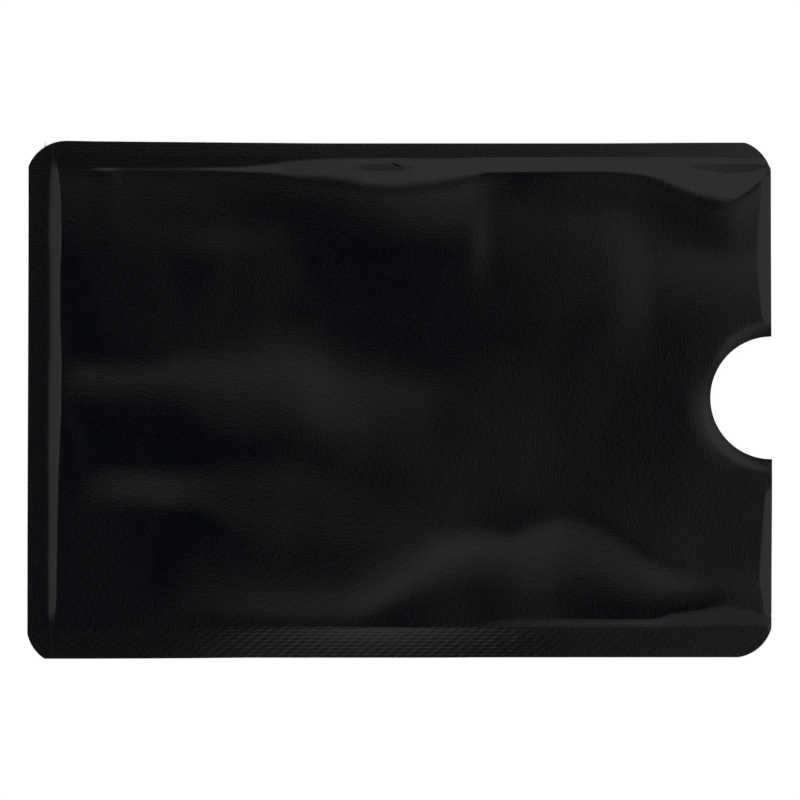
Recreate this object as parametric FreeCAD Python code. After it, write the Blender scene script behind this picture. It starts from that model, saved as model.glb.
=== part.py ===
import FreeCAD, Part
import math
import os

# A card sleeve of foil laminate: two walls of three layers, heat-sealed together on three sides.
# X runs from the sealed end to the open mouth, Y across the card's short side, Z through the thickness.
# The origin is below the middle of the sleeve, on the surface that the back wall rests on.

# The card that the pocket takes, and the room round it inside the pocket
card_length = 85.6
card_width = 53.98
card_thickness = 0.76
length_clearance = 3.25
width_clearance = 2.37
thickness_clearance = 0.44

# Heat seals along the closed end and the two long sides
end_seal_width = 2.15
top_seal_width = 2.95
bottom_seal_width = 3.7

# The layers of each wall, from the outside in
film_thickness = 0.05
foil_thickness = 0.03
liner_thickness = 0.07

# Each wall rises from its seals over round shoulders to a flat middle, and rolls down at the mouth
end_shoulder_run = 1.85
side_shoulder_run = 0.95
lip_run = 1.2
lip_drop = 0.15

# The thumb notch at the mouth, and how far it sits above the middle
notch_radius = 7.5
notch_offset = 0.3

# The punched outer corners, and how far each punch sat outside its corner along X and along Y
corner_radius = 5.0
top_left_shift = (0.30, 0.27)
top_right_shift = (0.08, 0.34)
bottom_left_shift = (0.20, 0.98)
bottom_right_shift = (0.20, 0.0)

# How far the cutting tools run past the sheet
overrun = 2.0

# Sizes that follow from the ones above
sleeve_length = end_seal_width + card_length + length_clearance
sleeve_width = bottom_seal_width + card_width + width_clearance + top_seal_width
crown = (card_thickness + thickness_clearance) / 2
wall_thickness = liner_thickness + foil_thickness + film_thickness
seam_height = crown + wall_thickness
half_length = sleeve_length / 2
half_width = sleeve_width / 2
pocket_end_x = end_seal_width - half_length
pocket_low_y = bottom_seal_width - half_width
pocket_high_y = half_width - top_seal_width
up = FreeCAD.Vector(0, 0, 1)


def point(x, y, z=0.0):
    return FreeCAD.Vector(x, y, z)


def line(start, end):
    return Part.LineSegment(start, end).toShape()


def arc(start, middle, end):
    return Part.Arc(start, middle, end).toShape()


def corner_arc(side_x, side_y, shift):
    """One punched corner, from the short edge to the long edge."""
    shift_x, shift_y = shift
    centre_x = half_length - corner_radius + shift_x
    centre_y = half_width - corner_radius + shift_y
    first_angle = math.acos(1 - shift_x / corner_radius)
    last_angle = math.pi / 2 - math.acos(1 - shift_y / corner_radius)
    points = []
    for angle in (first_angle, (first_angle + last_angle) / 2, last_angle):
        x = centre_x + corner_radius * math.cos(angle)
        y = centre_y + corner_radius * math.sin(angle)
        points.append(point(side_x * x, side_y * y))
    return arc(*points)


def ends(edge):
    return edge.firstVertex(True).Point, edge.lastVertex(True).Point


def outline():
    """The die-cut outline of both walls, with its punched corners and the thumb notch."""
    top_left = corner_arc(-1, 1, top_left_shift)
    top_right = corner_arc(1, 1, top_right_shift)
    bottom_left = corner_arc(-1, -1, bottom_left_shift)
    bottom_right = corner_arc(1, -1, bottom_right_shift)
    notch_low = point(half_length, notch_offset - notch_radius)
    notch_deep = point(half_length - notch_radius, notch_offset)
    notch_high = point(half_length, notch_offset + notch_radius)
    edges = [
        bottom_right,
        line(ends(bottom_right)[0], notch_low),
        arc(notch_low, notch_deep, notch_high),
        line(notch_high, ends(top_right)[0]),
        top_right,
        line(ends(top_right)[1], ends(top_left)[1]),
        top_left,
        line(ends(top_left)[0], ends(bottom_left)[0]),
        bottom_left,
        line(ends(bottom_left)[1], ends(bottom_right)[1]),
    ]
    return Part.Face(Part.Wire(Part.__sortEdges__(edges)))


def shoulder(foot, foot_height, top, top_height):
    """Foot, middle and top of an arc that ends level at its top, each as a distance and a height."""
    run = top - foot
    rise = top_height - foot_height
    radius = (run * run + rise * rise) / (2 * rise)
    half_sweep = math.atan2(rise, abs(run))
    middle = top - math.copysign(radius * math.sin(half_sweep), run)
    middle_height = top_height - radius * (1 - math.cos(half_sweep))
    return (foot, foot_height), (middle, middle_height), (top, top_height)


def long_profile():
    """The pocket's half height along X: end shoulder, flat middle and the lip that rolls down at the mouth."""
    rise = shoulder(pocket_end_x, 0, pocket_end_x + end_shoulder_run, crown)
    lip = shoulder(half_length, crown - lip_drop, half_length - lip_run, crown)
    rise = [point(x, pocket_low_y, z) for x, z in rise]
    lip = [point(x, pocket_low_y, z) for x, z in lip]
    corner = point(half_length, pocket_low_y)
    edges = [arc(*rise), line(rise[2], lip[2]), arc(*lip), line(lip[0], corner), line(corner, rise[0])]
    return Part.Face(Part.Wire(Part.__sortEdges__(edges)))


def cross_profile():
    """The pocket's half height along Y: a shoulder on each side of the flat middle."""
    low = shoulder(pocket_low_y, 0, pocket_low_y + side_shoulder_run, crown)
    high = shoulder(pocket_high_y, 0, pocket_high_y - side_shoulder_run, crown)
    low = [point(pocket_end_x, y, z) for y, z in low]
    high = [point(pocket_end_x, y, z) for y, z in high]
    edges = [arc(*low), line(low[2], high[2]), arc(*high), line(high[0], low[0])]
    return Part.Face(Part.Wire(Part.__sortEdges__(edges)))


def pocket_roof():
    """The faces over one half of the pocket, where the long and the cross profile meet."""
    along = cross_profile().extrude(point(half_length - pocket_end_x, 0))
    across = long_profile().extrude(point(0, pocket_high_y - pocket_low_y))
    room = along.common(across)
    return [face for face in room.Faces if face.normalAt(*middle_of(face)).z > 0.01]


def middle_of(face):
    first_u, last_u, first_v, last_v = face.ParameterRange
    return (first_u + last_u) / 2, (first_v + last_v) / 2


def margin_sheet():
    """The flat margin round the pocket, larger than the outline that trims it."""
    low = point(-half_length - overrun, -half_width - overrun)
    sheet = Part.makePlane(2 * (half_length + overrun), 2 * (half_width + overrun), low)
    pocket_length = half_length + overrun - pocket_end_x
    pocket_width = pocket_high_y - pocket_low_y
    return sheet.cut(Part.makePlane(pocket_length, pocket_width, point(pocket_end_x, pocket_low_y)))


def trimmed(shapes):
    """The faces of some shapes, cut to the outline."""
    reach = seam_height + overrun
    cutter = outline().extrude(up * (2 * reach))
    cutter.translate(up * -reach)
    faces = []
    for shape in shapes:
        faces.extend(shape.common(cutter).Faces)
    return faces


def layer(faces, low, thickness):
    """One solid between the faces raised by low and the same faces raised by the thickness more."""
    slabs = []
    for face in faces:
        slab = face.extrude(up * thickness)
        slab.translate(up * low)
        slabs.append(slab)
    if len(slabs) == 1:
        return slabs[0]
    return slabs[0].multiFuse(slabs[1:]).removeSplitter().Solids[0]


def wall_layers(margin, roof):
    """The three layers of the front wall, measured up from the seam plane."""
    whole = margin + roof
    return {
        "liner": layer(roof, 0, liner_thickness),
        "foil": layer(whole, liner_thickness, foil_thickness),
        "film": layer(whole, liner_thickness + foil_thickness, film_thickness),
    }


def seal(margin, low_corner, high_corner):
    """The stretch of margin inside one rectangle, where the liners of the two walls are fused."""
    size = high_corner - low_corner
    bar = Part.makePlane(size.x, size.y, low_corner)
    faces = []
    for face in margin:
        faces.extend(face.common(bar).Faces)
    return layer(faces, -liner_thickness, 2 * liner_thickness)


def seals(margin):
    far_x = half_length + overrun
    far_y = half_width + overrun
    return {
        "end_seal": seal(margin, point(-far_x, -far_y), point(pocket_end_x, far_y)),
        "top_seal": seal(margin, point(pocket_end_x, pocket_high_y), point(far_x, far_y)),
        "bottom_seal": seal(margin, point(pocket_end_x, -far_y), point(far_x, pocket_low_y)),
    }


margin = trimmed([margin_sheet()])
roof = trimmed(pocket_roof())
pieces = seals(margin)
for name, solid in wall_layers(margin, roof).items():
    pieces["front_" + name] = solid
    pieces["back_" + name] = solid.mirror(point(0, 0, 0), up)

os.makedirs("parts", exist_ok=True)
for name, solid in pieces.items():
    solid.translate(up * seam_height)
    solid.exportStep("parts/" + name + ".step")
    box = solid.BoundBox
    size = "%.3f by %.3f by %.3f mm" % (box.XLength, box.YLength, box.ZLength)
    print(name, solid.ShapeType, "valid", solid.isValid(), "%.3f mm3" % solid.Volume, size)
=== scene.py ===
import math

import bpy
import numpy as np
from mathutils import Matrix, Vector
from mathutils.geometry import delaunay_2d_cdt
from mathutils.kdtree import KDTree


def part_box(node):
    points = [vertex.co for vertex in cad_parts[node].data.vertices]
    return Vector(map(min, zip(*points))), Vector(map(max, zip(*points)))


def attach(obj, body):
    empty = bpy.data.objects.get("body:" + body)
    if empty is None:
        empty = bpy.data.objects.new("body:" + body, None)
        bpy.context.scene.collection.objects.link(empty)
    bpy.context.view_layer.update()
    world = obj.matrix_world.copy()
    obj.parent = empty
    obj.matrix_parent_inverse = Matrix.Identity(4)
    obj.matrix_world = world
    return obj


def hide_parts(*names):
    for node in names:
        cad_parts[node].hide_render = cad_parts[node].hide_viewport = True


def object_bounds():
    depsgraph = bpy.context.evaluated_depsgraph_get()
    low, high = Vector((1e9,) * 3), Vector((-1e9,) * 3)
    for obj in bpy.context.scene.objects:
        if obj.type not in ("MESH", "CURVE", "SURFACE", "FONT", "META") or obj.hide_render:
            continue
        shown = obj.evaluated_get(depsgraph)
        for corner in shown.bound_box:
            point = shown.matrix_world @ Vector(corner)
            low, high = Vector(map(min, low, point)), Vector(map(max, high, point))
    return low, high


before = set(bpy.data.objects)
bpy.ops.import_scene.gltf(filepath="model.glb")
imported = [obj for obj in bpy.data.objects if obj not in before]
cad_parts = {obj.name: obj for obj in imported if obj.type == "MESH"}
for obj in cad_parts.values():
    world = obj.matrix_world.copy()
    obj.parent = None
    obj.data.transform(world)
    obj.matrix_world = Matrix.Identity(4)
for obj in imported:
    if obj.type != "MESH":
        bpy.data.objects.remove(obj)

# A card sleeve of black foil laminate, lying on its back wall and seen from straight above.
# The forms below are worked out in millimetres on the frame's own X and Y, and made in metres.

cad_low, cad_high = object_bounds()
MM = 0.001

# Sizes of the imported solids
HALF_LENGTH = cad_high.x / MM
HALF_WIDTH = cad_high.y / MM
SEAM_HEIGHT = (cad_low.z + cad_high.z) / 2 / MM
POCKET_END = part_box("end_seal")[1].x / MM
POCKET_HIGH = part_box("top_seal")[0].y / MM
POCKET_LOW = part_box("bottom_seal")[1].y / MM
SEAL_THICKNESS = (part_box("end_seal")[1].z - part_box("end_seal")[0].z) / MM

# Thicknesses of a wall and its three layers, and how far the back wall bulges from its margin
LINER = SEAL_THICKNESS / 2
FOIL = 0.03
FILM = 0.05
WALL = LINER + FOIL + FILM
BACK_CROWN = SEAM_HEIGHT - WALL

# The thumb notch, the punched corners and the nominal cut at the mouth
NOTCH_X = 45.53
NOTCH_Y = 0.3
NOTCH_RADIUS = 7.5
CORNER_RADIUS = 5.0
CORNER_SHIFTS = {
    (1, -1): (0.20, 0.0),
    (1, 1): (0.08, 0.34),
    (-1, 1): (0.30, 0.27),
    (-1, -1): (0.20, 0.98),
}
MOUTH = 45.5

# Where the top margin begins, how far the film's stiffness spreads a bend, and the sharp folds of the ledge
TOP_MARGIN = 29.8
EASING = 0.9
FOLD = 0.02
FOLD_START = -5.0
FOLD_END = 45.3

# Spacing of points along cut edges, seals and folds, and the distance at which two points count as one
CUT_STEP = 0.5
SEAL_STEP = 0.6
FOLD_STEP = 0.3
SAME_POINT = 0.02

# How far outside the pocket a seal takes over the outline, and how clear of all edges the grid stays
SEAL_INSET = 0.05
WALL_CLEAR = 0.16
SEAL_CLEAR = 0.12

# The grid of points in a sheet, with finer stretches (from, to, step) where the film bends sharply
GRID_STEP = 0.55
GRID_X = (-45.3, 45.3)
GRID_Y = (-31.2, 31.2)
FINE_X = {"end bead": (-43.6, -41.0, 0.13), "nick": (-2.2, 1.2, 0.13), "lips": (43.4, 45.4, 0.2)}
FINE_Y = {"ledge": (-27.9, -24.6, 0.18), "puckers": (23.8, 30.2, 0.3), "top shoulder": (27.6, 30.0, 0.13)}

# The camera looks straight down from far off, so the sleeve shows without perspective
VIEW_WIDTH = 97.94
VIEW_CENTRE = (0.043, 0.043)
CAMERA_DISTANCE = 3000.0
SENSOR = 36.0


# Curves that the forms are made of


def smooth(t):
    """Climbs from 0 at 0 to 1 at 1, level at both ends and beyond them."""
    t = np.clip(t, 0, 1)
    return t * t * (3 - 2 * t)


def window(t):
    """1 at 0, falling smoothly to 0 at -1 and 1."""
    return smooth(1 - np.abs(t))


def span(t, first, last, fade_in, fade_out):
    """1 from first to last, fading to 0 over the given runs outside them."""
    return smooth((t - first) / fade_in + 1) * smooth((last - t) / fade_out + 1)


def through(t, *stations):
    """A smooth curve through given (place, value) stations, without overshoot, level beyond them."""
    place, value = np.array(stations, float).T
    gap = np.diff(place)
    slope = np.diff(value) / gap
    before = slope[:-1]
    after = slope[1:]
    same_way = before * after > 0
    mean = np.where(same_way, 2 * before * after / np.where(same_way, before + after, 1), 0)
    tangent = np.concatenate([[0], mean, [0]])
    t = np.clip(t, place[0], place[-1])
    i = np.clip(np.searchsorted(place, t) - 1, 0, len(gap) - 1)
    u = (t - place[i]) / gap[i]
    level = value[i] + (value[i + 1] - value[i]) * u * u * (3 - 2 * u)
    lean = gap[i] * u * (1 - u) * (tangent[i] * (1 - u) - tangent[i + 1] * u)
    return level + lean


def ramp(t, start=0.5, end=0.5):
    """Climbs from 0 to 1. start and end are the shares of the climb that round off its foot and head."""
    sharpest = 0.02
    t = np.clip(t, 0, 1)
    total = np.maximum(start + end, 1)
    a = np.maximum(start, sharpest) / total
    b = np.maximum(end, sharpest) / total
    rise = np.where(t < a, 0.5 * t * t / a, t - 0.5 * a)
    over = np.maximum(t - (1 - b), 0)
    return (rise - 0.5 * over * over / b) / (1 - 0.5 * a - 0.5 * b)


# The die-cut outline, with edges that bow a little


def top_edge(x):
    return through(x, (-41, 31.77), (-37, 31.71), (-27, 31.62), (-17, 31.53), (-7, 31.46), (22, 31.46),
                   (41, 31.55))


def bottom_edge(x):
    return -through(x, (-43, 31.63), (-27, 31.58), (-17, 31.50), (3, 31.50), (12, 31.46), (41, 31.45))


def left_edge(y):
    return -through(y, (-27, 45.57), (27, 45.43))


def right_edge(y):
    return through(y, (-27, 45.51), (-20, 45.53), (-11, 45.58), (11, 45.48), (27, 45.44))


def on_top(x, y):
    """The point of the top edge at an x. The three functions after it do the same for the other edges."""
    return x, float(top_edge(x))


def on_bottom(x, y):
    return x, float(bottom_edge(x))


def on_left(x, y):
    return float(left_edge(y)), y


def on_right(x, y):
    return float(right_edge(y)), y


def clamped(x, y):
    """A point brought inside the four edges."""
    x = min(max(x, float(left_edge(y))), float(right_edge(y)))
    y = min(max(y, float(bottom_edge(x))), float(top_edge(x)))
    return x, y


def corner(side_x, side_y):
    """One punched corner: an arc that is cut off where it runs past an edge."""
    shift_x, shift_y = CORNER_SHIFTS[side_x, side_y]
    centre_x = HALF_LENGTH - CORNER_RADIUS + shift_x
    centre_y = HALF_WIDTH - CORNER_RADIUS + shift_y
    quarter_turn = np.radians(np.arange(0, 91, 3))
    points = []
    for angle in quarter_turn:
        x = side_x * (centre_x + CORNER_RADIUS * math.cos(angle))
        y = side_y * (centre_y + CORNER_RADIUS * math.sin(angle))
        points.append(clamped(x, y))
    return points if side_x * side_y > 0 else points[::-1]


def run_to(points, end, step, edge=None):
    """Adds points up to an end, evenly spaced, each brought on to its edge."""
    start = points[-1]
    count = max(1, round(math.dist(start, end) / step))
    for i in range(1, count + 1):
        x = start[0] + (end[0] - start[0]) * i / count
        y = start[1] + (end[1] - start[1]) * i / count
        points.append(edge(x, y) if edge else (x, y))


def without_doubles(points):
    """A closed loop of points without those that repeat the one before."""
    kept = []
    for p in points:
        if not kept or math.dist(p, kept[-1]) > SAME_POINT:
            kept.append(p)
    if math.dist(kept[0], kept[-1]) < SAME_POINT:
        kept.pop()
    return kept


def notch_arc():
    """The thumb notch from its lower to its upper end on the mouth."""
    count = round(math.pi * NOTCH_RADIUS / CUT_STEP)
    angles = np.radians(np.linspace(-90, -270, count + 1))
    return [(NOTCH_X + NOTCH_RADIUS * math.cos(a), NOTCH_Y + NOTCH_RADIUS * math.sin(a)) for a in angles]


def add_mouth(points, end):
    """Adds the mouth's edge up to an end above the notch, with the notch on the way."""
    notch = notch_arc()
    run_to(points, notch[0], CUT_STEP, on_right)
    points += notch[1:-1]
    points.append(on_right(*notch[-1]))
    run_to(points, end, CUT_STEP, on_right)


def sleeve_outline():
    """The whole outline, anticlockwise from the lower right corner."""
    points = list(corner(1, -1))
    upper = corner(1, 1)
    add_mouth(points, upper[0])
    points += upper[1:]
    left = corner(-1, 1)
    run_to(points, left[0], CUT_STEP, on_top)
    points += left[1:]
    lower = corner(-1, -1)
    run_to(points, lower[0], CUT_STEP, on_left)
    points += lower[1:]
    run_to(points, points[0], CUT_STEP, on_bottom)
    return without_doubles(points)


def pocket_loop():
    """The outline of the liner: the pocket's floor, open at the mouth."""
    points = [(POCKET_END, POCKET_LOW)]
    run_to(points, on_right(HALF_LENGTH, POCKET_LOW), CUT_STEP)
    add_mouth(points, on_right(HALF_LENGTH, POCKET_HIGH))
    run_to(points, (POCKET_END, POCKET_HIGH), CUT_STEP)
    run_to(points, points[0], CUT_STEP)
    return without_doubles(points)


def in_end_seal(x, y):
    return x < POCKET_END - SEAL_INSET


def in_top_seal(x, y):
    return y > POCKET_HIGH + SEAL_INSET and x > POCKET_END + SEAL_INSET


def in_bottom_seal(x, y):
    return y < POCKET_LOW - SEAL_INSET and x > POCKET_END + SEAL_INSET


def strip_loop(in_seal, first, last, way_back):
    """A closed loop for one seal: the outline's points inside it, then back along its inner edge."""
    start = next(i for i in range(len(OUTLINE)) if in_seal(*OUTLINE[i]) and not in_seal(*OUTLINE[i - 1]))
    points = [first]
    for i in range(len(OUTLINE)):
        p = OUTLINE[(start + i) % len(OUTLINE)]
        if not in_seal(*p):
            break
        points.append(p)
    for end in [last] + way_back:
        run_to(points, end, SEAL_STEP)
    return without_doubles(points)


# The relief of the front wall, as heights above its flat margin


def inner_level(x, y):
    """Height of the film inside its shoulders: a plateau, low above and below at the sealed end."""
    slant = 0.45
    slant_about = 14
    middle = through(x, (-42, 0.02), (-38, 0.085), (-34, 0.115), (-30, 0.138), (-27, 0.165), (-21, 0.245),
                     (-14, 0.29), (-8, 0.31), (0, 0.31), (8, 0.305), (18, 0.285), (24, 0.305), (30, 0.34),
                     (38, 0.39), (46, 0.40))
    upper = through(x + slant * (y - slant_about), (-44, 0.01), (-38, 0.045), (-31, 0.055), (-24, 0.05),
                    (-18, 0.05), (-12, 0.07), (-8, 0.1), (-3, 0.145), (3, 0.193), (8, 0.222), (16, 0.245),
                    (45, 0.25))
    head = through(x, (-44, 5.6), (-30, 5.6), (-26, 7.0), (-20, 9.7), (-12, 10.0), (-7, 8.9), (-3, 9),
                   (4, 8), (9, 12), (14, 16), (28, 20), (45, 22))
    foot = through(x, (-44, -1.2), (-28, -2.0), (-22, -5.6), (-14, -7), (-8, -8.2), (-2, -10), (8, -10),
                   (18, -2), (28, 9), (45, 9.5))
    climb = ramp((y - foot) / (head - foot), 0.6, 0.35)
    lower = through(x, (-42, 0.0), (-34, 0.0), (-30, 0.015), (-25, 0.085), (-19, 0.1), (-12, 0.118),
                    (-4, 0.145), (4, 0.18), (12, 0.235), (15, 0.28), (18, 0.335), (24, 0.355), (30, 0.345),
                    (38, 0.34), (46, 0.345))
    low_head = through(x, (-44, -7.4), (-26, -7.4), (-21, -5), (-8, -6), (4, -9), (16, -8), (30, 0), (45, 4))
    low_foot = through(x, (-44, -14.4), (-26, -14.6), (-21, -19), (-8, -21), (45, -24))
    descent = ramp((low_head - y) / (low_head - low_foot), 0.35, 0.35)
    return middle + (upper - middle) * climb + (lower - middle) * descent


def dome(x, y):
    """A low dome right of the middle with a soft flank above it and beside it."""
    height = 0.055
    rim_x = 24
    rim_y = 13.5
    flank = 7.0
    past = np.hypot(np.maximum(x - rim_x, 0), 0.6 * np.maximum(y - rim_y, 0))
    inward = ramp((x - 2) / 20) * (1 - ramp((14 - y) / 14))
    return height * (1 - ramp((past - 0.6) / flank, 0.45, 0.25)) * inward


def wandered(x, y):
    """A place moved a little, so that no edge in the film runs straight."""
    away_x = 0.8 * np.sin(0.24 * y + 0.8) + 0.25 * np.sin(0.13 * x - 0.51 * y)
    away_y = 0.35 * np.sin(0.29 * x + 1.9) + 0.2 * np.sin(0.53 * x + 0.11 * y)
    return x + away_x, y + away_y


def top_head(x):
    """Where the film is at its full height below the top seal: further from the seal at two puckers."""
    return through(x, (-46, 28.15), (-25, 28.15), (-16, 27.8), (-12, 27.2), (-8, 26.8), (-4, 26.1),
                   (0, 25.9), (4, 26.2), (8, 27.2), (11, 27.9), (24, 28.0), (29, 27.7), (31, 27.2),
                   (35.4, 25.2), (38, 24.3), (40.4, 24.1), (42, 25.1), (44, 26.9), (45.6, 28.2))


def top_crest(x, y, level):
    """The level drawn towards the height that the film has where it meets the top shoulder."""
    crest = through(x, (-40, 0.0), (-37.6, 0.003), (-36.6, 0.016), (-35, 0.016), (-34, 0.005), (-26, 0.009),
                    (-22, 0.02), (-16, 0.055), (-12, 0.08), (-6, 0.125), (0, 0.15), (4, 0.155), (8, 0.16),
                    (12, 0.21), (16, 0.272), (22, 0.31), (30, 0.322), (36, 0.325), (40, 0.35), (46, 0.35))
    settle = through(x, (-46, 12), (-16, 10), (-8, 8), (0, 10), (9, 10), (14, 6), (30, 6), (36, 7), (46, 8))
    return level + (crest - level) * (1 - ramp((top_head(x) - y) / settle, 0.1, 0.9))


def top_shoulder(x, y):
    """Share of the height that the film has kept on its way down to the top seal, stepped at the puckers."""
    first_run = 0.8
    middle_start = 0.7
    overlap = 0.2
    round_foot = 0.2
    full_waist = 0.25
    foot = through(x, (-46, 28.45), (-20, 28.6), (-16, 28.95), (-13, 29.4), (-8, 29.7), (46, 29.75))
    head = top_head(x)
    waist = through(x, (-6.5, 0.0), (-3, 0.6), (-0.5, 0.55), (2.5, 0.0), (34, 0.0), (37, 0.6), (40, 1.0),
                    (42.5, 1.0), (46, 0.5))
    below = foot - first_run - waist
    soft = through(x, (-14, 0.15), (-6, 0.3), (4, 0.3), (12, 0.15), (28, 0.2), (33, 0.5), (39, 0.5),
                   (42, 0.2), (46, 0.15))
    plain = ramp((foot - y) / (foot - head), round_foot / (foot - head), soft)
    steep = through(x, (2, 0.28), (36, 0.28), (40, 0.16), (43, 0.12), (46, 0.2))
    flat = through(x, (2, 0.12), (34, 0.05), (46, 0.06))
    first = steep * ramp((foot - y) / first_run, 0.2, 0.15)
    middle = flat * ramp((foot - middle_start - y) / (waist + overlap), 0.15, 0.15)
    last = (1 - steep - flat) * ramp((below - y) / (below - head), 0.15, soft)
    return plain + (first + middle + last - plain) * smooth(waist / full_waist)


def bottom_slope(x, y):
    """Share of the height that the film has kept on its broad way down to the bottom seal."""
    head = through(x, (-42, -16), (-30, -13.5), (-25, -15), (-20, -18.2), (-12, -19), (-6, -18.6),
                   (-2, -18.2), (2, -17.2), (6, -15.6), (9, -15.2), (11.5, -15.4), (13.5, -15.6),
                   (15.5, -14.8), (18, -13.6), (21, -12.8), (25, -14.0), (29, -16.8), (32, -18.6),
                   (36, -19.5), (46, -19.5))
    foot = through(x, (-43, -27.6), (-28, -27.4), (-22, -27.2), (-15, -27.6), (-7, -27.8), (-2, -26.6),
                   (2, -25.2), (8, -24.6), (12, -25.4), (14.5, -25.6), (17.5, -25.4), (22, -25.6),
                   (28, -26.2), (33, -25.6), (46, -25))
    soft_foot = through(x, (-46, 0.5), (-24, 0.15), (-6, 0.2), (0, 0.4), (4, 0.5), (14, 0.65), (20, 0.65),
                        (26, 0.5), (32, 0.5), (46, 0.5))
    soft_head = through(x, (-46, 0.5), (-24, 0.6), (-4, 0.6), (4, 0.4), (14, 0.18), (24, 0.22), (30, 0.3),
                        (36, 0.5), (46, 0.5))
    return ramp((y - foot) / (head - foot), soft_foot, soft_head)


def ledge_width(x):
    """How far the ledge along the bottom seal reaches into the pocket."""
    return through(x, (8, 0.5), (14, 1.0), (31, 1.05), (33.4, 1.7), (37, 2.2), (40, 2.8), (43, 2.3),
                   (46, 1.4))


def fold_lines(x):
    """Where both sides of the two folds along the ledge run."""
    lower = POCKET_LOW + 0 * x
    upper = POCKET_LOW + ledge_width(x)
    return lower, lower + FOLD, upper, upper + FOLD


def bottom_ledge(x, y):
    """A low ledge along the bottom seal, widest near the mouth, between two sharp folds."""
    step = through(x, (-5, 0.0), (4, 0.035), (14, 0.045), (22, 0.04), (30, 0.055), (46, 0.06))
    ledge = through(x, (8, 0.0), (14, 0.02), (30, 0.035), (34, 0.045), (40, 0.065), (46, 0.05))
    rim = through(x, (18, 0.0), (24, 0.035), (30, 0.085), (35, 0.13), (40, 0.17), (46, 0.18))
    width = ledge_width(x)
    above = y - POCKET_LOW
    lower_fold = step * ramp(above / FOLD)
    upper_fold = rim * ramp((above - width) / FOLD)
    return lower_fold + ledge * ramp(above / width, 0.15, 0.15) + upper_fold


def bead_course(y):
    """Width of the bead that sealing squeezed up along the end seal, its crest's place, and its firmness."""
    width = through(y, (-27.6, 0.1), (-26, 0.45), (-24, 0.65), (-20, 0.75), (-15, 0.75), (-10, 0.95),
                    (-5, 1.25), (0, 1.5), (5, 1.4), (10, 1.1), (15, 1.1), (20, 1.4), (24, 1.3), (27, 0.9),
                    (28.5, 0.5), (29.8, 0.1))
    crest = through(y, (-27, -42.55), (-24, -42.35), (-15, -42.25), (-10, -42.15), (-5, -41.95),
                    (0, -41.75), (5, -41.75), (10, -41.9), (15, -41.9), (20, -41.75), (24, -41.8),
                    (27, -42.0), (29.6, -42.25))
    firm = through(y, (-27.6, 0.2), (-25.5, 1.0), (27, 1.0), (29.8, 0.2))
    return width, crest, firm


def end_shoulder(x, y, level):
    """The level brought down to the end seal under its bead, which tapers to both ends."""
    steepness = 0.045
    far_side = 0.3
    width, crest, firm = bead_course(y)
    up = ramp((x - crest + width) / width, 0.8, 0.03)
    bead = steepness * width * firm * up * (1 - ramp((x - crest) / far_side, 0.1, 0.5))
    return level * up + bead


def rolled(x, run):
    """How far a lip has rolled down, from 0 a run before the cut on to the cut and past it."""
    return ramp((x - (MOUTH - run)) / (run * 1.3), 0.2, 0.5)


def lips(x, y):
    """The mouth's two lips, rolled down towards the cut."""
    top_drop = 0.2
    low_drop = 0.18
    top_run = through(y, (-31, 0.8), (8, 0.8), (12, 1.3), (18, 1.75), (24, 1.25), (31, 0.8))
    low_run = through(y, (-31, 0.6), (-25, 0.9), (-22, 1.4), (-16, 1.0), (-11, 0.6), (31, 0.6))
    top = span(y, 11, 25.5, 2.0, 2.5) * rolled(x, top_run)
    low = span(y, -25, -13.5, 1.6, 3) * rolled(x, low_run)
    return -top_drop * top - low_drop * low


def notch_rim(x, y):
    """The film rolled down round the thumb notch: a broad sag on its left, a crisp ring above and below."""
    sag_depth = 0.06
    sag_reach = 3.2
    ring_depth = 0.05
    from_edge = np.hypot(x - NOTCH_X, y - NOTCH_Y) - NOTCH_RADIUS
    turn = np.degrees(np.arctan2(y - NOTCH_Y, NOTCH_X - x))
    sag = sag_depth * window((turn + 25) / 60) * (1 - ramp(from_edge / sag_reach, 0.1, 0.7))
    share = 0.15 + 0.75 * window((turn - 75) / 55) + 0.85 * window((turn + 65) / 55)
    reach = through(turn, (-90, 1.6), (-50, 1.4), (-10, 1.0), (30, 0.9), (65, 1.7), (90, 2.1))
    ring = ring_depth * share * (1 - ramp(from_edge / reach, 0.8, 0.08))
    return -sag - ring


def nick(x, y):
    """A short slanting nick in the film at the right end of the top seal's middle pucker."""
    height = 0.0105
    half_length = 1.2
    half_width = 0.32
    way_x = 0.9
    way_y = 0.43
    off_x = x + 0.55
    off_y = y - 29.1
    along = way_x * off_x - way_y * off_y
    across = way_y * off_x + way_x * off_y
    return height * window(along / half_length) * window(across / half_width)


def faint_waves(x, y):
    """What handling has left in the film: a crease, a pat and a slight unevenness all over."""
    crease_height = 0.05
    pat_height = 0.03
    ripple_height = 0.0015
    drift_height = 0.006
    crease = crease_height * (1 - ramp((x - 8.2) / 3.6)) * ramp((x + 10) / 16) * ramp((y - 9) / 14)
    pat = pat_height * ramp((22.5 - y) / 5.5) * (1 - ramp((17 - y) / 13, 0.2, 0.8)) * span(x, -22, -18, 7, 7)
    ripple = ripple_height * np.sin(0.62 * x + 0.35 * y + 0.6) * np.sin(0.27 * x - 0.55 * y + 1.1)
    drift = drift_height * np.sin(0.21 * x - 0.33 * y) * np.sin(0.17 * x + 0.24 * y + 2)
    inside_seals = smooth((x + 36) / 6) * smooth((26 - y) / 4) * smooth((y + 26) / 4)
    return crease + pat + (ripple + drift) * inside_seals


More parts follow.
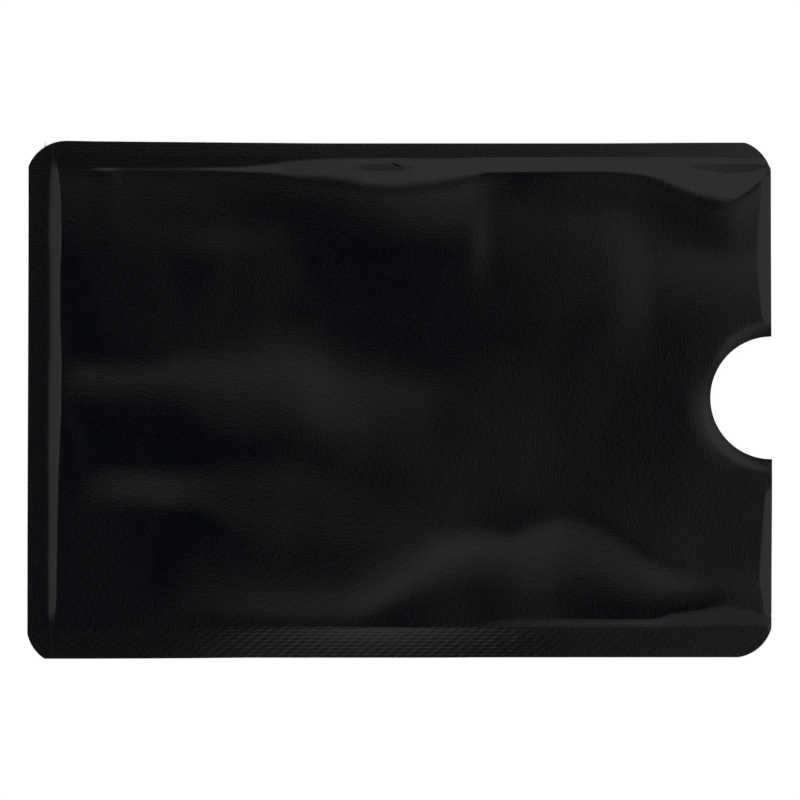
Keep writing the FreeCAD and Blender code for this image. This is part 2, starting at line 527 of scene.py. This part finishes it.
def margin_sway(x, y):
    """How far the sealed margins, both walls together, leave their plane."""
    droop_depth = 0.2
    beyond_cut = 1.2
    low = np.clip((POCKET_LOW - y) / (HALF_WIDTH + POCKET_LOW), 0, beyond_cut)
    high = np.clip((y - TOP_MARGIN) / (HALF_WIDTH - TOP_MARGIN), 0, beyond_cut)
    droop = droop_depth * window((x + 3) / 26) * low * (1 - 0.35 * low)
    curl = through(x, (-45, 0.0), (-20, 0.008), (0, 0.012), (20, 0.018), (36, 0.035), (45, 0.05)) * high
    return -droop - curl


def pillow(x, y):
    """The film between its sharp shoulders, before its stiffness has eased the bends."""
    level = inner_level(*wandered(x, y)) + dome(x, y) + faint_waves(x, y)
    return top_crest(x, y, level) * bottom_slope(x, y)


def eased(form, x, y):
    """A form averaged over a small disc, as a stiff film spreads a bend."""
    centre_weight = 2
    rings = ((0.4, 6), (0.7, 8), (1.0, 10))
    total = centre_weight * form(x, y)
    weight = centre_weight
    for share, count in rings:
        for turn in np.arange(count) * 2 * np.pi / count + share:
            part = 1.3 - share
            total = total + part * form(x + EASING * share * np.cos(turn), y + EASING * share * np.sin(turn))
            weight += part
    return total / weight


def front_height(x, y):
    """Height of the front wall's outer face above the seam."""
    body = eased(pillow, x, y) * top_shoulder(x, y)
    level = body + bottom_ledge(x, y) * (1 - eased(bottom_slope, x, y))
    relief = end_shoulder(x, y, level) + lips(x, y) + notch_rim(x, y) + nick(x, y)
    return WALL + np.maximum(relief, 0) + margin_sway(x, y)


def back_height(x, y):
    """Depth of the back wall's outer face below the seam: a tray that lies on its flat middle."""
    side_run = 1.6
    end_run = 2.0
    lip_start = 1.4
    lip_run = 2.4
    lip_drop = 0.25
    wave_depth = 0.05
    sides = np.minimum(ramp((y - POCKET_LOW) / side_run), ramp((POCKET_HIGH - y) / side_run))
    end = ramp((x - POCKET_END) / end_run)
    lip = 1 - lip_drop * smooth((x - HALF_LENGTH + lip_start) / lip_run)
    unevenness = 1 - wave_depth * (1 + np.sin(0.19 * x + 0.7) * np.sin(0.23 * y - 0.4)) * window(y / 31)
    return WALL + BACK_CROWN * sides * end * lip * unevenness - margin_sway(x, y)


# Plans: a triangulated area with its own boundary


def lines_of(first, last, step, fine):
    """Grid places from first to last, closer together inside the fine (from, to, step) stretches."""
    places = [first]
    while places[-1] < last:
        here = places[-1]
        steps = [s for low, high, s in fine if low <= here < high]
        places.append(here + min(steps + [step]))
    return np.array(places)


def inside_loop(points, loop):
    """Which points lie inside a closed loop, by counting crossings."""
    x, y = points[:, 0], points[:, 1]
    inside = np.zeros(len(points), bool)
    ring = np.array(loop)
    for (x0, y0), (x1, y1) in zip(ring, np.roll(ring, -1, axis=0)):
        if y0 == y1:
            continue
        crosses = (y0 > y) != (y1 > y)
        inside ^= crosses & (x < (x1 - x0) * (y - y0) / (y1 - y0) + x0)
    return inside


def distance_to_loop(points, loop):
    """Distance from each point to the nearest stretch of a closed loop."""
    ring = np.array(loop)
    nearest = np.full(len(points), np.inf)
    for start, end in zip(ring, np.roll(ring, -1, axis=0)):
        along = end - start
        t = np.clip((points - start) @ along / (along @ along), 0, 1)
        nearest = np.minimum(nearest, np.hypot(*(points - start - t[:, None] * along).T))
    return nearest


def fold_rows():
    """Rows of points that follow the rolled edge of the thumb notch, and the folds along the ledge."""
    rows = []
    half_turn = np.radians(np.arange(92, 269, 3))
    for reach in (0.35, 0.75, 1.15, 1.6):
        radius = NOTCH_RADIUS + reach
        ring_x = NOTCH_X + radius * np.cos(half_turn)
        ring_y = NOTCH_Y + radius * np.sin(half_turn)
        rows.append(np.column_stack([ring_x, ring_y]))
    x = np.arange(FOLD_START, FOLD_END, FOLD_STEP)
    for line in fold_lines(x):
        rows.append(np.column_stack([x, line]))
    return rows


def make_plan(loop, clear, rows=()):
    """A triangulated plan inside a loop: rows of points, each joined up, and grid points clear of them."""
    longest_join = 1
    inside_only = 1
    merge_distance = 1e-5
    points = GRID[inside_loop(GRID, loop)]
    points = points[distance_to_loop(points, loop) > clear]
    rows = [row[inside_loop(row, loop)] for row in rows]
    rows = [row[distance_to_loop(row, loop) > clear] for row in rows]
    rows = [row for row in rows if len(row)]
    if rows:
        tree = KDTree(sum(len(row) for row in rows))
        for i, (x, y) in enumerate(np.vstack(rows)):
            tree.insert((x, y, 0), i)
        tree.balance()
        points = points[[tree.find((x, y, 0))[2] > clear for x, y in points]]
    edges = [(i, (i + 1) % len(loop)) for i in range(len(loop))]
    corners = [Vector(p) for p in loop]
    for row in rows:
        first = len(corners)
        corners += [Vector(p) for p in row]
        for i in range(first, len(corners) - 1):
            if math.dist(corners[i], corners[i + 1]) < longest_join:
                edges.append((i, i + 1))
    corners += [Vector(p) for p in points]
    found, _, faces, _, _, _ = delaunay_2d_cdt(corners, edges, [], inside_only, merge_distance)
    plan_points = np.array([tuple(p) for p in found])
    return plan_points, [tuple(f) for f in faces]


def boundary_of(faces):
    """The directed edges that only one face uses."""
    used = set()
    for face in faces:
        for a, b in zip(face, face[1:] + face[:1]):
            used.add((a, b))
    return [(a, b) for a, b in used if (b, a) not in used]


# Sheets: closed thin meshes with what their material needs to know


def worn_share(points):
    """How far the cut edge has scuffed the surface."""
    reach = 0.35
    return np.exp(-distance_to_loop(points, OUTLINE) / reach)


def imprint_share(x, y):
    """How strongly sealing has printed its weave: most midway along the bottom seal, not in the pocket."""
    end = 0.2 * smooth((POCKET_END + 0.3 - x) / 0.5)
    top = 0.25 * smooth((y - POCKET_HIGH - 0.9) / 0.5)
    low = (0.3 + 0.7 * span(x, -18, 12, 10, 10)) * smooth((POCKET_LOW + 0.2 - y) / 0.4)
    return np.maximum(np.maximum(end, top), low)


def haze_share(x, y):
    """How matt sealing has left the film: most on the bead along the end seal, a little on the margins."""
    margin_haze = 0.04
    top_start = 29.9
    width, crest, firm = bead_course(y)
    bead = firm * ramp((x - crest + width + 0.3) / (0.8 * width + 0.3)) * ramp((crest + 0.1 - x) / 0.2)
    end = smooth((POCKET_END - x) / 0.6)
    top = smooth((y - top_start) / 0.4)
    low = smooth((POCKET_LOW - y) / 0.4)
    return np.maximum(bead, margin_haze * np.maximum(np.maximum(end, top), low))


def add_attribute(mesh, name, values):
    """Gives the upper and the lower points of a sheet the same values."""
    attribute = mesh.attributes.new(name, "FLOAT", "POINT")
    attribute.data.foreach_set("value", np.tile(values, 2).astype(np.float32))


def keep_folds_sharp(mesh, points):
    """Marks the edges along the folds as sharp, however low a fold is."""
    tolerance = 1e-3
    x, y = points.T
    near = [np.abs(y - line) < tolerance for line in fold_lines(x)]
    on_fold = np.tile(np.any(near, axis=0) & (x > FOLD_START - 0.01), 2)
    ends = np.empty(2 * len(mesh.edges), np.int32)
    mesh.edges.foreach_get("vertices", ends)
    sharp = np.empty(len(mesh.edges), bool)
    mesh.edges.foreach_get("use_edge_sharp", sharp)
    mesh.edges.foreach_set("use_edge_sharp", sharp | on_fold[ends].reshape(-1, 2).all(axis=1))


def closed_sheet(name, plan, top, bottom, material):
    """A closed thin sheet over a plan between the heights of its two faces, in millimetres above the seam."""
    sharp_from = math.radians(45)
    points, faces = plan
    count = len(points)
    upper = np.column_stack([points, top + SEAM_HEIGHT])
    lower = np.column_stack([points, bottom + SEAM_HEIGHT])
    under = [tuple(i + count for i in reversed(face)) for face in faces]
    walls = [(b, a, a + count, b + count) for a, b in sorted(boundary_of(faces))]
    mesh = bpy.data.meshes.new(name)
    mesh.from_pydata((np.vstack([upper, lower]) * MM).tolist(), [], list(faces) + under + walls)
    mesh.polygons.foreach_set("use_smooth", np.ones(len(mesh.polygons), bool))
    mesh.set_sharp_from_angle(angle=sharp_from)
    keep_folds_sharp(mesh, points)
    add_attribute(mesh, "imprint", imprint_share(*points.T))
    add_attribute(mesh, "worn", worn_share(points))
    add_attribute(mesh, "haze", haze_share(*points.T))
    mesh.materials.append(material)
    mesh.update()
    sheet = bpy.data.objects.new(name, mesh)
    bpy.context.scene.collection.objects.link(sheet)
    return sheet


# Materials


class Nodes:
    """A node tree that is filled in short steps."""

    def __init__(self, tree):
        self.tree = tree
        self.tree.nodes.clear()

    def add(self, kind, inputs=None, **settings):
        node = self.tree.nodes.new(kind)
        for key, value in settings.items():
            setattr(node, key, value)
        for key, value in (inputs or {}).items():
            if isinstance(value, bpy.types.NodeSocket):
                self.tree.links.new(value, node.inputs[key])
            else:
                node.inputs[key].default_value = value
        return node

    def math(self, operation, first, second=0.5, clamp=False):
        node = self.add("ShaderNodeMath", {0: first, 1: second}, operation=operation, use_clamp=clamp)
        return node.outputs[0]

    def spread(self, value, low, high, first=0.0, last=1.0):
        """A value between first and last mapped on to low to high, and held there beyond them."""
        ends = {"From Min": first, "From Max": last, "To Min": low, "To Max": high}
        return self.add("ShaderNodeMapRange", {"Value": value, **ends}).outputs[0]

    def mix(self, factor, first, second):
        """A colour between two colours."""
        node = self.add("ShaderNodeMix", {"Factor": factor, "A": first, "B": second}, data_type="RGBA")
        return node.outputs["Result"]

    def bump(self, height, depth, under=None):
        """The normal of a fine relief, of a depth in millimetres, on top of another normal or none."""
        inputs = {"Height": height, "Distance": depth * MM, "Strength": 1.0}
        if under is not None:
            inputs["Normal"] = under
        return self.add("ShaderNodeBump", inputs).outputs[0]

    def millimetres(self):
        """The place on the piece."""
        place = self.add("ShaderNodeTexCoord").outputs["Object"]
        return self.add("ShaderNodeVectorMath", {0: place, "Scale": 1 / MM}, operation="SCALE").outputs[0]

    def noise(self, place, per_mm, detail=2.0, stretch=(1, 1, 1)):
        scaled = self.add("ShaderNodeVectorMath", {0: place, 1: stretch}, operation="MULTIPLY").outputs[0]
        node = self.add("ShaderNodeTexNoise", {"Vector": scaled, "Scale": per_mm, "Detail": detail})
        return node.outputs["Fac"]

    def waves(self, distance, pitch):
        """Even waves along a distance."""
        return self.math("SINE", self.math("MULTIPLY", distance, 2 * math.pi / pitch))

    def attribute(self, name):
        return self.add("ShaderNodeAttribute", attribute_name=name).outputs["Fac"]

    def surface(self, inputs):
        """A Principled shader as the material's surface."""
        shader = self.add("ShaderNodeBsdfPrincipled", inputs)
        self.add("ShaderNodeOutputMaterial", {"Surface": shader.outputs[0]})


def new_material(name):
    """A material with an empty node tree to fill."""
    material = bpy.data.materials.new(name)
    material.use_nodes = True
    return material, Nodes(material.node_tree)


def linen_grain(nodes, place):
    """Fine threads both ways, as long specks of noise."""
    along = nodes.noise(place, 1.0, 0.0, (4.4, 1.5, 1))
    across = nodes.noise(place, 1.0, 0.0, (1.5, 4.4, 1))
    return nodes.math("ADD", nodes.math("MULTIPLY", along, 0.5), nodes.math("MULTIPLY", across, 0.5))


def woven_imprint(nodes, place):
    """A patchy weave of fine rows under a coarser twill, where sealing has printed it."""
    row_pitch = 0.42
    twill_pitch = 0.8
    twill_angle = math.radians(52)
    twill_share = 0.8
    straight = nodes.add("ShaderNodeSeparateXYZ", {0: place})
    warp = nodes.waves(straight.outputs[0], row_pitch)
    weft = nodes.waves(straight.outputs[1], row_pitch)
    rows = nodes.math("MULTIPLY", weft, nodes.spread(warp, 0.4, 1.0, -1.0, 1.0))
    turn = {"Vector": place, "Angle": twill_angle}
    turned = nodes.add("ShaderNodeVectorRotate", turn, rotation_type="Z_AXIS").outputs[0]
    twill = nodes.waves(nodes.add("ShaderNodeSeparateXYZ", {0: turned}).outputs[0], twill_pitch)
    patchy = nodes.spread(nodes.noise(place, 0.9, 2.0), 0.2, 1.5, 0.2, 0.8)
    weave = nodes.math("ADD", rows, nodes.math("MULTIPLY", twill, twill_share))
    return nodes.math("MULTIPLY", nodes.math("MULTIPLY", weave, patchy), nodes.attribute("imprint"))


def black_film():
    """Glossy black film with a fine linen grain and a coarser woven imprint on the seals."""
    black = (0.0, 0.0, 0.0004, 1)
    blue_black = (0.0016, 0.0028, 0.0044, 1)
    scuffed_grey = (0.008, 0.008, 0.009, 1)
    scuff = 0.3
    grain_depth = 0.0036
    imprint_depth = 0.0016
    haze_roughness = 0.28
    material, nodes = new_material("black_film")
    place = nodes.millimetres()
    specks = nodes.spread(nodes.noise(place, 4.4, 0.0), 0.0, 1.0, 0.2, 0.8)
    tint = nodes.mix(specks, black, blue_black)
    colour = nodes.mix(nodes.math("MULTIPLY", nodes.attribute("worn"), scuff), tint, scuffed_grey)
    gloss = nodes.spread(nodes.noise(place, 0.5, 3.0), 0.05, 0.075)
    haze = nodes.math("MULTIPLY", nodes.attribute("haze"), haze_roughness)
    grain = nodes.bump(linen_grain(nodes, place), grain_depth)
    nodes.surface({
        "Base Color": colour,
        "Roughness": nodes.math("ADD", gloss, haze),
        "IOR": 1.41,
        "Normal": nodes.bump(woven_imprint(nodes, place), imprint_depth, grain),
    })
    return material


def foil_metal():
    """Aluminium foil with faint rolling lines."""
    grey = (0.62, 0.63, 0.64, 1)
    pale_grey = (0.80, 0.81, 0.82, 1)
    line_depth = 0.002
    material, nodes = new_material("foil")
    place = nodes.millimetres()
    rolling = nodes.noise(place, 1.0, 3.0, (0.25, 9.0, 1))
    nodes.surface({
        "Base Color": nodes.mix(rolling, grey, pale_grey),
        "Metallic": 1.0,
        "Roughness": nodes.spread(nodes.noise(place, 1.3, 2.0), 0.24, 0.4),
        "Normal": nodes.bump(rolling, line_depth),
    })
    return material


def liner_film():
    """The matt grey heat-seal film on the inside."""
    grey = (0.54, 0.55, 0.56, 1)
    pale_grey = (0.68, 0.69, 0.70, 1)
    grain_depth = 0.003
    material, nodes = new_material("liner")
    place = nodes.millimetres()
    cloud = nodes.noise(place, 0.8, 4.0)
    nodes.surface({
        "Base Color": nodes.mix(cloud, grey, pale_grey),
        "Roughness": nodes.spread(cloud, 0.42, 0.58),
        "Normal": nodes.bump(nodes.noise(place, 6.0, 3.0), grain_depth),
    })
    return material


# Floor, light and camera


def seen_rays(nodes):
    """1 for rays from the camera and for what gloss and glass show."""
    path = nodes.add("ShaderNodeLightPath")
    some = nodes.math("ADD", path.outputs["Is Camera Ray"], path.outputs["Is Glossy Ray"])
    return nodes.math("ADD", some, path.outputs["Is Transmission Ray"], clamp=True)


def make_floor():
    """A white floor that glows for the camera but still takes a soft shadow."""
    size = 1500 * MM
    pale = (0.85, 0.85, 0.85, 1)
    dark = (0.25, 0.25, 0.25, 1)
    glow_strength = 0.86
    corners = [(-size, -size, 0), (size, -size, 0), (size, size, 0), (-size, size, 0)]
    mesh = bpy.data.meshes.new("floor")
    mesh.from_pydata(corners, [], [(0, 1, 2, 3)])
    floor = bpy.data.objects.new("floor", mesh)
    bpy.context.scene.collection.objects.link(floor)
    material, nodes = new_material("floor")
    seen = seen_rays(nodes)
    matt = nodes.add("ShaderNodeBsdfDiffuse", {"Color": nodes.mix(seen, pale, dark)})
    glow = nodes.add("ShaderNodeEmission", {"Strength": nodes.math("MULTIPLY", seen, glow_strength)})
    total = nodes.add("ShaderNodeAddShader", {0: matt.outputs[0], 1: glow.outputs[0]})
    nodes.add("ShaderNodeOutputMaterial", {"Surface": total.outputs[0]})
    mesh.materials.append(material)


def outside(nodes, value, low, high):
    """How far a value lies below low or above high."""
    under = nodes.math("MAXIMUM", nodes.math("SUBTRACT", low, value), 0.0)
    over = nodes.math("MAXIMUM", nodes.math("SUBTRACT", value, high), 0.0)
    return nodes.math("ADD", under, over)


def make_tent():
    """A white light tent, dimmer towards the floor, with a dim slot overhead, where the camera looks in."""
    slot_x = (-0.05, -0.019)
    slot_y = (-0.015, 0.002)
    fade = 0.1
    fade_bend = 1.09
    dim = 0.03
    bright = 0.9
    low_light = 0.2
    low_z = 0.1
    high_z = 0.65
    world = bpy.data.worlds.new("tent")
    world.use_nodes = True
    bpy.context.scene.world = world
    nodes = Nodes(world.node_tree)
    way = nodes.add("ShaderNodeSeparateXYZ", {0: nodes.add("ShaderNodeTexCoord").outputs["Generated"]})
    across = outside(nodes, way.outputs[0], *slot_x)
    along = outside(nodes, way.outputs[1], *slot_y)
    squares = nodes.math("ADD", nodes.math("MULTIPLY", across, across), nodes.math("MULTIPLY", along, along))
    share = nodes.math("DIVIDE", nodes.math("SQRT", squares), fade, clamp=True)
    upper = nodes.math("GREATER_THAN", way.outputs[2], 0.0)
    lit = nodes.spread(way.outputs[2], low_light, 1.0, low_z, high_z)
    wall = nodes.math("MULTIPLY", nodes.spread(nodes.math("POWER", share, fade_bend), dim, bright), lit)
    light = nodes.math("MAXIMUM", wall, nodes.math("SUBTRACT", 1.0, upper))
    camera = nodes.add("ShaderNodeLightPath").outputs["Is Camera Ray"]
    strength = nodes.math("MAXIMUM", light, camera)
    background = nodes.add("ShaderNodeBackground", {"Color": (1, 1, 1, 1), "Strength": strength})
    nodes.add("ShaderNodeOutputWorld", {"Surface": background.outputs[0]})


def make_camera():
    """A long lens straight above the sleeve."""
    data = bpy.data.cameras.new("camera")
    data.sensor_width = SENSOR
    data.lens = SENSOR * CAMERA_DISTANCE / VIEW_WIDTH
    data.clip_start = 0.01
    data.clip_end = 10.0
    camera = bpy.data.objects.new("camera", data)
    camera.location = (VIEW_CENTRE[0] * MM, VIEW_CENTRE[1] * MM, CAMERA_DISTANCE * MM)
    bpy.context.scene.collection.objects.link(camera)
    bpy.context.scene.camera = camera


# The pieces


def dress(piece, node):
    """Puts a piece in its solid's place under the root body, and hides the solid."""
    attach(piece, "root")
    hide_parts(node)


OUTLINE = sleeve_outline()
POCKET = pocket_loop()
x_lines = lines_of(*GRID_X, GRID_STEP, FINE_X.values())
y_lines = lines_of(*GRID_Y, GRID_STEP, FINE_Y.values())
GRID = np.stack(np.meshgrid(x_lines, y_lines), axis=-1).reshape(-1, 2)
wall_plan = make_plan(OUTLINE, WALL_CLEAR, fold_rows())
liner_plan = make_plan(POCKET, WALL_CLEAR, fold_rows())
film_material = black_film()
foil_material = foil_metal()
liner_material = liner_film()

layers = [
    ("film", OUTLINE, wall_plan, 0.0, FILM, film_material, "black_film"),
    ("foil", OUTLINE, wall_plan, FILM, FILM + FOIL, foil_material, "foil"),
    ("liner", POCKET, liner_plan, FILM + FOIL, WALL, liner_material, "liner"),
]
for layer, loop, plan, outer, inner, material, slot in layers:
    up = front_height(*plan[0].T)
    front = closed_sheet("front_" + layer + "_sheet", plan, up - outer, up - inner, material)
    dress(front, "front_" + layer)
    down = -back_height(*plan[0].T)
    back = closed_sheet("back_" + layer + "_sheet", plan, down + inner, down + outer, material)
    dress(back, "back_" + layer)

end_top = on_top(POCKET_END, HALF_WIDTH)
end_bottom = on_bottom(POCKET_END, -HALF_WIDTH)
mouth_top = on_right(HALF_LENGTH, POCKET_HIGH)
mouth_bottom = on_right(HALF_LENGTH, POCKET_LOW)
pocket_top = (POCKET_END, POCKET_HIGH)
pocket_bottom = (POCKET_END, POCKET_LOW)
seal_loops = {
    "end_seal": strip_loop(in_end_seal, end_top, end_bottom, [end_top]),
    "top_seal": strip_loop(in_top_seal, mouth_top, end_top, [pocket_top, mouth_top]),
    "bottom_seal": strip_loop(in_bottom_seal, end_bottom, mouth_bottom, [pocket_bottom, end_bottom]),
}
for name, loop in seal_loops.items():
    plan = make_plan(loop, SEAL_CLEAR)
    up = front_height(*plan[0].T) - FILM - FOIL
    down = FILM + FOIL - back_height(*plan[0].T)
    strip = closed_sheet(name + "_strip", plan, up, down, liner_material)
    dress(strip, name)

make_floor()
make_tent()
make_camera()
bpy.context.scene.view_settings.view_transform = "Standard"
